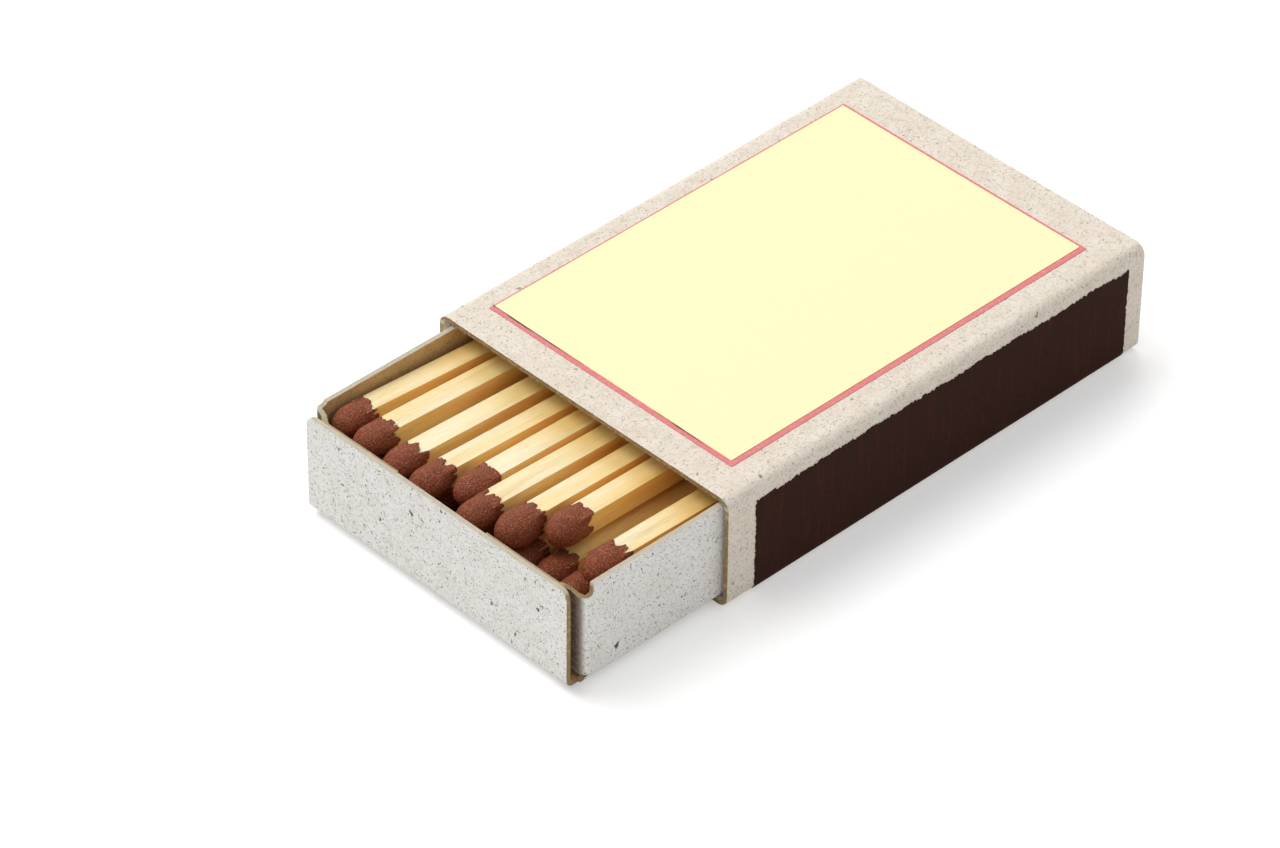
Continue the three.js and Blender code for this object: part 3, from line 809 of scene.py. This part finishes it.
class MATCHBOX_OT_tray(bpy.types.Operator):
    """Makes the folded card tray: floor, side walls with corner tabs, and end panels"""

    bl_idname = "matchbox.tray"
    bl_label = "Tray"

    def execute(self, context):
        card, _ = sizes(context)
        fold, board = card.tray_fold, card.board
        x0, x1 = TRAY_LOW.x, TRAY_HIGH.x
        y0, y1 = TRAY_LOW.y, TRAY_HIGH.y
        bottom, brim = TRAY_LOW.z, TRAY_HIGH.z
        slit = bottom + fold
        face_rear, face_front = x0 + board, x1 - board
        notches = (x0 + card.notch_inset + card.notch_width / 2, x1 - card.notch_inset - card.notch_width / 2)

        straight = graded(face_rear + fold, face_front - fold, 0.1 * MM, 0.8 * MM, growth=1.04)

        def wall_top(x, side):
            """Height of a side wall's cut edge, with its relief cuts."""
            top = brim - card.ragged * ragged(x, waves=((0.5, 0.7, 41 * side), (0.5, 3.0, 42)))
            for centre, end in zip(notches, (-1, 1)):
                away = max(0.0, end * (centre - x) / (card.notch_width / 2))
                if away < 1:
                    torn = 0.14 * MM * rough(x, scale=1.7, seed=43 * side)
                    top = min(top, brim - (notch_depth(side, end) + torn) * (1 - away ** 4) ** 0.5)
            return top

        def notch_depth(side, end):
            """Depth of a relief cut; the far front one is pressed almost shut."""
            return card.notch_depth * (0.25 if side < 0 < end else 1.0)

        def tab_top(k, side, end):
            """A tab's cut edge rises from the relief cut, and stays below the brim behind the end panel."""
            rise = share(k / TAB_RISE)
            rise = rise * rise * (3 - 2 * rise)
            return brim - notch_depth(side, end) * (1 - rise) - card.tab_drop * rise

        sheet = Sheet()
        tab = steps(0, card.tab - fold, 0.5 * MM)[1:]
        turns = arc(face_front - fold, 0, fold, 0, 90), arc(face_rear + fold, 0, fold, 90, 180)
        wall = turns[0] + [(x, fold) for x in reversed(straight[1:-1])] + turns[1]
        for side, inner in ((1, y1 - fold), (-1, y0 + fold)):
            plan = [(face_front, -k, tab_top(k, side, 1)) for k in reversed(tab)]
            plan += [(x, y, wall_top(x, side)) for x, y in wall]
            plan += [(face_rear, -k, tab_top(k, side, -1)) for k in tab]
            grid = np.array([
                [(x, inner + side * y, slit + (top - slit) * k) for x, y, top in plan] for k in WALL_ROWS
            ])
            sheet.panel(grid if side > 0 else grid[:, ::-1])

        floor_y = steps(y0 + fold, y1 - fold, 0.5 * MM)
        section = arc(y0 + fold, slit, fold, 180, 270)[:-1] + [(y, bottom) for y in floor_y]
        section += arc(y1 - fold, slit, fold, 270, 360)[1:]
        sheet.panel(np.array([[(x, y, z) for x in reversed(straight)] for y, z in section]))

        across = [y0 + card.panel_inset + k * MM for k in (0.0, 0.12)] + floor_y
        across += [y1 - card.panel_inset - k * MM for k in (0.12, 0.0)]
        fine = []
        for a, b in zip(across, across[1:]):
            close = min(a - across[0], across[-1] - b) < 1.2 * MM
            fine += [a] + ([a + (b - a) * k / 4 for k in (1, 2, 3)] if close and b - a > 0.3 * MM else [])
        across = fine + [across[-1]]

        def panel_top(y):
            """An end panel's cut edge, with rounded corners."""
            away = min(y - across[0], across[-1] - y)
            r = card.panel_corner
            drop = r - math.sqrt(max(0.0, r * r - (r - away) ** 2)) if away < r else 0.0
            return brim - drop - card.ragged * ragged(y, waves=((0.5, 0.9, 45), (0.5, 4.0, 46)))

        for towards, face, start in ((1, x1, straight[-1]), (-1, x0, straight[0])):
            profile = [(start, bottom), (face - towards * fold, bottom)]
            profile += [(face - towards * (fold - x), z) for x, z in arc(0, slit, fold, 270, 360)[1:]]
            grid = [[(x, y, z) for y in across] for x, z in profile]
            for j, y in enumerate(across):
                if y < floor_y[0] - HAIR or y > floor_y[-1] + HAIR:
                    grid[0][j] = (start + towards * 0.08 * MM, y, bottom)
            for k in WALL_ROWS[1:]:
                grid.append([(face, y, slit + (panel_top(y) - slit) * k) for y in across])
            grid = np.array(grid)
            sheet.panel(grid if towards > 0 else grid[:, ::-1])

        def warp(p):
            x, y, z = p
            up = max(0.0, (z - slit) / (brim - slit))
            from_side = min(abs(y - y0), abs(y - y1))
            to_face = min(x - face_rear, face_front - x)
            if z > slit - HAIR and to_face > -HAIR and from_side < GROOVE_REACH:
                aside = share((GROOVE_REACH - from_side) / (1.2 * MM))
                pull = card.corner_groove * aside * share(1 - (to_face - fold) / (1.3 * MM))
                x += pull if x < (x0 + x1) / 2 else -pull
            if x > face_front - fold:
                x -= 0.1 * MM * up * (0.5 + 0.5 * rough(y, z, scale=0.07, seed=51))
            if abs(y) > y1 - fold:
                y -= math.copysign(0.06 * MM * up * (0.5 + 0.5 * rough(x, z, scale=0.1, seed=52)), y)
            return x, y, z

        # The tray's inner face takes the card's browner copy with painted bounce light and shade
        tray = sheet.build("card_tray", [finish("tray"), finish("edge"), finish("inner_face_shade")], board, warp)
        hand_over(tray, "tray_body", "tray_card", "tray")
        return {"FINISHED"}


# Matches


SQUARENESS = 16.0
# Vertices of a head's grid round it and along it, and of a stick along it and across it
HEAD_AROUND, HEAD_ALONG = 112, 40
STICK_ALONG, STICK_ACROSS = 100, 8


def new_group(name, *kinds):
    """A node group that gives geometry, and its named inputs, as one kind of socket and its names each."""
    tree = bpy.data.node_groups.new(name, "GeometryNodeTree")
    tree.interface.new_socket(name="Geometry", in_out="OUTPUT", socket_type="NodeSocketGeometry")
    for kind, *labels in kinds:
        for label in labels:
            tree.interface.new_socket(name=label, in_out="INPUT", socket_type="NodeSocket" + kind)
    return tree, add(tree, "NodeGroupInput").outputs


def match_tree():
    """Nodes for one match, tip at the origin and stick along -X: a grained stick and a dipped head."""
    tree, given = new_group(
        "Match",
        ("Float", "Length", "Side", "Stick End", "Head Length", "Head Radius"),
        ("Float", "Coat", "Teeth", "Grit", "Grain", "Bow", "Seed"), ("Material", "Wood", "Compound"),
    )
    seed, side, coat = given["Seed"], given["Side"], given["Coat"]
    head_length, head_radius = given["Head Length"], given["Head Radius"]

    def maths(operation, *operands):
        return work_out(tree, operation, *operands)

    # Stick
    size = add(tree, TOGETHER, {0: maths("SUBTRACT", given["Length"], given["Stick End"]), 1: side, 2: side})
    cube = add(tree, "GeometryNodeMeshCube", {
        "Size": size, "Vertices X": STICK_ALONG,
        "Vertices Y": STICK_ACROSS, "Vertices Z": STICK_ACROSS,
    })
    shift = add(tree, TOGETHER, {0: maths("MULTIPLY", ("ADD", given["Length"], given["Stick End"]), -0.5)})
    stick = add(tree, "GeometryNodeTransform", {"Geometry": cube.outputs["Mesh"], "Translation": shift})
    place = add(tree, "GeometryNodeInputPosition")
    own = {1: maths("MULTIPLY", seed, 0.013), 2: maths("MULTIPLY", seed, 0.007)}
    offset = add(tree, TOGETHER, own)
    seeded = add(tree, VECTOR_MATH, {0: place, 1: offset}, operation="ADD")
    kept = add(tree, KEEP, {
        "Geometry": stick, "Name": "grain", "Value": seeded,
    }, data_type="FLOAT_VECTOR", domain="POINT")
    drawn = add(tree, VECTOR_MATH, {0: seeded, 1: (30.0, 1300.0, 1300.0)}, operation="MULTIPLY")
    other = add(tree, VECTOR_MATH, {0: drawn, 1: (31.0, 5.0, 9.0)}, operation="ADD")
    side_y, side_z = (
        ("SUBTRACT", add(tree, NOISE, {"Vector": at, "Scale": 1.0, "Detail": 3.0}), 0.5)
        for at in (drawn, other)
    )
    reach = ("DIVIDE", add(tree, APART, {0: place}), given["Length"])
    arch = ("SUBTRACT", 1.0, ("POWER", ("ADD", ("MULTIPLY", reach, 2.0), 1.0), 2.0))
    bend = ("MULTIPLY", ("MULTIPLY", arch, given["Bow"]), ("SINE", ("MULTIPLY", seed, 2.4)))
    depth = maths("MULTIPLY", given["Grain"], 2.0)
    moved = {1: maths("ADD", ("MULTIPLY", side_y, depth), bend), 2: maths("MULTIPLY", side_z, depth)}
    rough_stick = add(tree, MOVE, {
        "Geometry": kept, "Offset": add(tree, TOGETHER, moved),
    })
    angle = add(tree, "GeometryNodeInputMeshEdgeAngle")
    crisp = add(tree, SHADE, {
        "Geometry": rough_stick, "Selection": maths("GREATER_THAN", angle, 0.7), "Shade Smooth": False,
    }, domain="EDGE")

    # Head: a grid wrapped round the stick's end, from its rear rim to the tip
    grid = add(tree, "GeometryNodeMeshGrid", {
        "Size X": 1.0, "Size Y": 1.0, "Vertices X": HEAD_AROUND + 1, "Vertices Y": HEAD_ALONG,
    })
    spot = add(tree, APART, {0: add(tree, "GeometryNodeInputPosition")}).outputs
    one_row = 1.0 / (HEAD_ALONG - 1)
    phi = maths("MULTIPLY", ("ADD", spot[0], 0.5), -2 * math.pi)
    row = maths("ADD", spot[1], 0.5)
    lip = maths("LESS_THAN", row, one_row / 2)
    forward = ("MAXIMUM", ("DIVIDE", ("SUBTRACT", row, one_row), 1 - one_row), 0.0)
    cosine, sine = maths("COSINE", phi), maths("SINE", phi)

    # The rear rim's teeth
    circle = add(tree, TOGETHER, {0: maths("MULTIPLY", seed, 3.7), 1: cosine, 2: sine})
    big, small = (
        ("SUBTRACT", add(tree, NOISE, {"Vector": circle, "Scale": scale, "Detail": detail}), 0.5)
        for scale, detail in ((1.1, 1.0), (3.0, 2.0))
    )
    cell = add(tree, CELLS, {"Vector": circle, "Scale": 3.6}, distance="EUCLIDEAN").outputs["Distance"]
    jag = ("ADD", ("MULTIPLY", big, 1.6), ("ADD", ("MULTIPLY", small, 1.6), ("MULTIPLY", cell, -1.0)))
    rim = ("ADD", ("MULTIPLY", head_length, -0.76), ("MULTIPLY", jag, given["Teeth"]))
    rim = ("MAXIMUM", rim, ("MULTIPLY", head_length, -0.99))
    x = maths("MULTIPLY", rim, ("SUBTRACT", 1.0, ("SINE", ("MULTIPLY", forward, math.pi / 2))))

    # The bulb, and the coat on the stick behind it
    w = maths("ADD", ("DIVIDE", x, head_length), 1.0)
    front = ("DIVIDE", ("MAXIMUM", ("SUBTRACT", w, 0.5), 0.0), 0.5)
    rear = ("DIVIDE", ("MAXIMUM", ("SUBTRACT", 0.5, w), 0.0), 0.5)
    nose = maths("POWER", ("MAXIMUM", ("SUBTRACT", 1.0, ("POWER", front, 2.1)), 0.0), 0.5)
    neck = ("SUBTRACT", 1.0, ("MULTIPLY", ("POWER", rear, 2.0), 0.4))
    bulb = ("MULTIPLY", ("MULTIPLY", nose, neck), head_radius)
    powers = (("POWER", ("ABSOLUTE", cosine), SQUARENESS), ("POWER", ("ABSOLUTE", sine), SQUARENESS))
    skin = maths("MULTIPLY", ("POWER", ("ADD", *powers), -1.0 / SQUARENESS), ("MULTIPLY", side, 0.5))
    fade = add(tree, RESCALE, {
        "Value": w, "From Min": 0.5, "From Max": 0.8, "To Min": 1.0, "To Max": 0.0,
    })
    coated = ("MULTIPLY", ("ADD", skin, coat), fade)
    radius = ("SMOOTH_MAX", bulb, coated, ("MULTIPLY", coat, 2.0))
    radius = maths("MINIMUM", radius, ("MULTIPLY", nose, head_radius))

    # Lumps and grit, and a first row tucked inside the stick
    body = {0: x, 1: maths("MULTIPLY", cosine, radius), 2: maths("MULTIPLY", sine, radius)}
    seeded_body = add(tree, VECTOR_MATH, {0: add(tree, TOGETHER, body), 1: offset}, operation="ADD")
    in_mm = add(tree, VECTOR_MATH, {0: seeded_body, 1: (1 / MM,) * 3}, operation="MULTIPLY")
    lumps, grit = (
        ("MULTIPLY", (
            "SUBTRACT", add(tree, NOISE, {"Vector": in_mm, "Scale": scale, "Detail": detail}), 0.5,
        ), ("MULTIPLY", given["Grit"], height))
        for scale, detail, height in ((0.55, 1.0, 4.0), (3.2, 2.0, 1.6))
    )
    proud = ("ADD", radius, ("MULTIPLY", ("ADD", lumps, grit), ("MINIMUM", ("MULTIPLY", nose, 3.0), 1.0)))
    final = add(tree, "ShaderNodeMix", {
        "Factor": lip, "A": maths(*proud), "B": maths("SUBTRACT", skin, 0.1 * MM),
    }, data_type="FLOAT")
    surface = {0: x, 1: maths("MULTIPLY", cosine, final), 2: maths("MULTIPLY", sine, final)}
    head = add(tree, MOVE, {
        "Geometry": grid.outputs["Mesh"], "Position": add(tree, TOGETHER, surface),
    })
    closed = add(tree, "GeometryNodeMergeByDistance", {"Geometry": head, "Distance": 2 * SAME_PLACE})
    head_place = add(tree, VECTOR_MATH, {
        0: add(tree, "GeometryNodeInputPosition"), 1: offset,
    }, operation="ADD")
    head_kept = add(tree, KEEP, {
        "Geometry": closed, "Name": "grain", "Value": head_place,
    }, data_type="FLOAT_VECTOR", domain="POINT")
    smooth = add(tree, SHADE, {"Geometry": head_kept, "Shade Smooth": True}, domain="FACE")
    marked = add(tree, KEEP, {
        "Geometry": smooth, "Name": "dipped", "Value": True,
    }, data_type="BOOLEAN", domain="FACE")

    both = add(tree, "GeometryNodeJoinGeometry")
    for part in (crisp, marked):
        tree.links.new(part.outputs[0], both.inputs[0])
    real = add(tree, REALIZE, {"Geometry": both})
    dipped = add(tree, "GeometryNodeInputNamedAttribute", {"Name": "dipped"}, data_type="BOOLEAN")
    wood = add(tree, PAINT, {"Geometry": real, "Material": given["Wood"]})
    paste = add(tree, PAINT, {
        "Geometry": wood, "Selection": dipped, "Material": given["Compound"],
    })
    add(tree, "NodeGroupOutput", {0: paste})
    return tree


def grow(piece, tree, values):
    """Gives a piece a node group with its named inputs."""
    modifier = piece.modifiers.new(tree.name, "NODES")
    modifier.node_group = tree
    known = {item.name: item.identifier for item in tree.interface.items_tree if item.in_out == "INPUT"}
    for name, value in values.items():
        modifier[known[name]] = value


def match_pose(name):
    """A CAD match's tip, its turn as a matrix with +X towards the tip, its length and head radius."""
    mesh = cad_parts[name].data
    points = np.unique(np.round([v.co for v in mesh.vertices], 8), axis=0)
    tail_corners = points[np.argsort(points[:, 0])[:4]]
    tail = tail_corners.mean(axis=0)
    reach = np.linalg.norm(points - tail, axis=1)
    tip = points[reach.argmax()]
    x = Vector(tip - tail).normalized()
    corner = Vector(max(tail_corners, key=lambda p: p[1] + p[2]) - tail)
    first = (corner - corner.dot(x) * x).normalized()
    second = x.cross(first)
    y = (first - second) / math.sqrt(2)
    z = (first + second) / math.sqrt(2)
    turn = Matrix((x, y, z)).transposed().to_4x4()
    from_axis = [np.linalg.norm(np.cross(p - tail, np.array(x))) for p in points]
    return Matrix.Translation(Vector(tip)) @ turn, reach.max(), max(from_axis)


class MATCHBOX_OT_matches(bpy.types.Operator):
    """Makes every match in its place in the tray"""

    bl_idname = "matchbox.matches"
    bl_label = "Matches"

    def execute(self, context):
        _, match = sizes(context)
        tree = match_tree()
        chance = random.Random(match.seed)
        for number, name in enumerate(MATCHES):
            place, reach, radius = match_pose(name)
            fullest = radius / match.head_radius
            piece = link("splint_" + name[-2:], bpy.data.meshes.new("splint"))
            grow(piece, tree, {
                "Length": reach,
                "Side": match.side,
                "Stick End": match.stick_end,
                "Head Length": match.head_length * fullest,
                "Head Radius": radius * 0.995,
                "Coat": match.coat,
                "Teeth": match.teeth,
                "Grit": match.grit,
                "Grain": match.grain,
                "Bow": match.bow * chance.uniform(0.4, 1.0),
                "Seed": float(number) + chance.random(),
                "Wood": finish("wood"),
                "Compound": finish("head"),
            })
            hand_over(plain(piece, place), "tray_body", "match", name)
        return {"FINISHED"}


# Fibres


def fibre_tree():
    """Nodes that grow short bent hairs of pulp from guide edges, where the card was cut."""
    tree, given = new_group(
        "Edge fibres", ("Geometry", "Geometry"), ("Float", "Spacing", "Length", "Thickness"),
        ("Vector", "Turn"), ("Int", "Seed"), ("Material", "Pulp"),
    )
    spread, turn, size = (
        add(tree, "FunctionNodeRandomValue", {
            0: low, 1: high, "Seed": work_out(tree, "ADD", given["Seed"], seed),
        }, data_type="FLOAT_VECTOR")
        for seed, low, high in (
            (1, (-0.0002, -0.0002, 0.0), (0.0002, 0.0002, 0.0)),
            (2, (-0.7, -0.7, -3.1), (0.7, 0.7, 3.1)),
            (3, (0.25, 0.25, 0.2), (1.0, 1.0, 1.0)),
        )
    )
    middle, end = (
        add(tree, VECTOR_MATH, {0: way, "Scale": given["Length"]}, operation="SCALE")
        for way in ((0.0, 0.0, 0.75), (0.7, 0.0, 0.7))
    )
    guide = add(tree, "GeometryNodeMeshToCurve", {"Mesh": given["Geometry"]})
    spacing = {"Curve": guide, "Length": given["Spacing"]}
    roots = add(tree, "GeometryNodeCurveToPoints", spacing, mode="LENGTH")
    scattered = add(tree, MOVE, {"Geometry": roots, "Offset": spread})
    arc_up = add(tree, "GeometryNodeCurveQuadraticBezier", {
        "Resolution": 5, "Start": (0.0, 0.0, -0.00006), "Middle": middle, "End": end,
    })
    wire = add(tree, "GeometryNodeCurvePrimitiveCircle", {"Resolution": 3, "Radius": given["Thickness"]})
    hair = add(tree, "GeometryNodeCurveToMesh", {
        "Curve": arc_up, "Profile Curve": wire, "Fill Caps": True,
    })
    turned = add(tree, "GeometryNodeTransform", {"Geometry": hair, "Rotation": given["Turn"]})
    placed = add(tree, "GeometryNodeInstanceOnPoints", {
        "Points": scattered, "Instance": turned, "Rotation": turn, "Scale": size,
    })
    real = add(tree, REALIZE, {"Geometry": placed})
    pulp = add(tree, PAINT, {"Geometry": real, "Material": given["Pulp"]})
    add(tree, "NodeGroupOutput", {0: pulp})
    return tree


class MATCHBOX_OT_fibres(bpy.types.Operator):
    """Makes the loose fibres along the cut edges of sleeve and tray"""

    bl_idname = "matchbox.fibres"
    bl_label = "Fibres"

    def execute(self, context):
        card, _ = sizes(context)
        tree = fibre_tree()
        b = card.board
        brim = TRAY_HIGH.z - 0.05 * MM
        front, near, far = TRAY_HIGH.x - b / 2, TRAY_HIGH.y - b / 2, TRAY_LOW.y + b / 2
        inset = card.panel_inset + card.panel_corner
        back = SLEEVE_HIGH.x - 4 * MM
        top = SLEEVE_HIGH.z - b / 2
        mouth = SLEEVE_HIGH.x - 0.05 * MM
        side = SLEEVE_HIGH.y - b / 2
        fold = card.sleeve_fold
        groups = (
            ("tray_fibres", "tray_body", "tray_card", (0, 0, 0), [
                ((front, TRAY_LOW.y + inset, brim), (front, TRAY_HIGH.y - inset, brim)),
                ((back, near, brim), (TRAY_HIGH.x - 3 * MM, near, brim)),
                ((back, far, brim), (TRAY_HIGH.x - 3 * MM, far, brim)),
            ]),
            ("mouth_fibres", "sleeve_body", "sleeve_card", (0, math.pi / 2, 0), [
                ((mouth, -side + fold, top), (mouth, side - fold, top)),
                ((mouth, side, fold), (mouth, side, top - fold)),
            ]),
        )
        for number, (name, body, slot, turn, guides) in enumerate(groups):
            points = [p for guide in guides for p in guide]
            mesh = bpy.data.meshes.new(name)
            mesh.from_pydata(points, [(i, i + 1) for i in range(0, len(points), 2)], [])
            piece = link(name, mesh)
            grow(piece, tree, {
                "Spacing": card.fibre_spacing,
                "Length": card.fibre_length,
                "Thickness": card.fibre_thickness,
                "Turn": turn,
                "Seed": 5 + number,
                "Pulp": finish("fibre"),
            })
            made = plain(piece)
            low, high = [Vector(corner) for corner in CAD_BOX]
            if body == "tray_body":
                # The tray's hairs lie flat enough to pass under the sleeve's top and along its flap
                low.y = SLEEVE_LOW.y + 2 * b + 0.04 * MM
                high.y = SLEEVE_HIGH.y - b - 0.08 * MM
                high.z = SLEEVE_HIGH.z - b - card.sag - 0.04 * MM
            for vertex in made.data.vertices:
                for axis in range(3):
                    vertex.co[axis] = min(max(vertex.co[axis], low[axis]), high[axis])
            hand_over(made, body, slot)
        return {"FINISHED"}


# Panel


class MATCHBOX_PT_panel(bpy.types.Panel):
    """Buttons that make the pieces, and their sizes and colours"""

    bl_idname = "MATCHBOX_PT_panel"
    bl_label = "Matchbox"
    bl_space_type = "VIEW_3D"
    bl_region_type = "UI"
    bl_category = "Matchbox"

    def draw(self, context):
        layout = self.layout
        for operator in OPERATORS:
            layout.operator(operator.bl_idname)
        for group in (*sizes(context), context.scene.matchbox_colours):
            column = layout.column()
            for key in group.__annotations__:
                column.prop(group, key)


OPERATORS = (
    MATCHBOX_OT_stage,
    MATCHBOX_OT_sleeve,
    MATCHBOX_OT_label,
    MATCHBOX_OT_strikers,
    MATCHBOX_OT_tray,
    MATCHBOX_OT_matches,
    MATCHBOX_OT_fibres,
)
CLASSES = (MatchboxCardSizes, MatchboxMatchSizes, MatchboxColours, *OPERATORS, MATCHBOX_PT_panel)


def register():
    for made in CLASSES:
        bpy.utils.register_class(made)
    bpy.types.Scene.matchbox_card = PointerProperty(type=MatchboxCardSizes)
    bpy.types.Scene.matchbox_match = PointerProperty(type=MatchboxMatchSizes)
    bpy.types.Scene.matchbox_colours = PointerProperty(type=MatchboxColours)


def unregister():
    del bpy.types.Scene.matchbox_colours
    del bpy.types.Scene.matchbox_match
    del bpy.types.Scene.matchbox_card
    for made in reversed(CLASSES):
        bpy.utils.unregister_class(made)


def main():
    register()
    bpy.ops.matchbox.stage()
    bpy.ops.matchbox.sleeve()
    bpy.ops.matchbox.label()
    bpy.ops.matchbox.strikers()
    bpy.ops.matchbox.tray()
    bpy.ops.matchbox.matches()
    bpy.ops.matchbox.fibres()


if __name__ == "__main__":
    main()
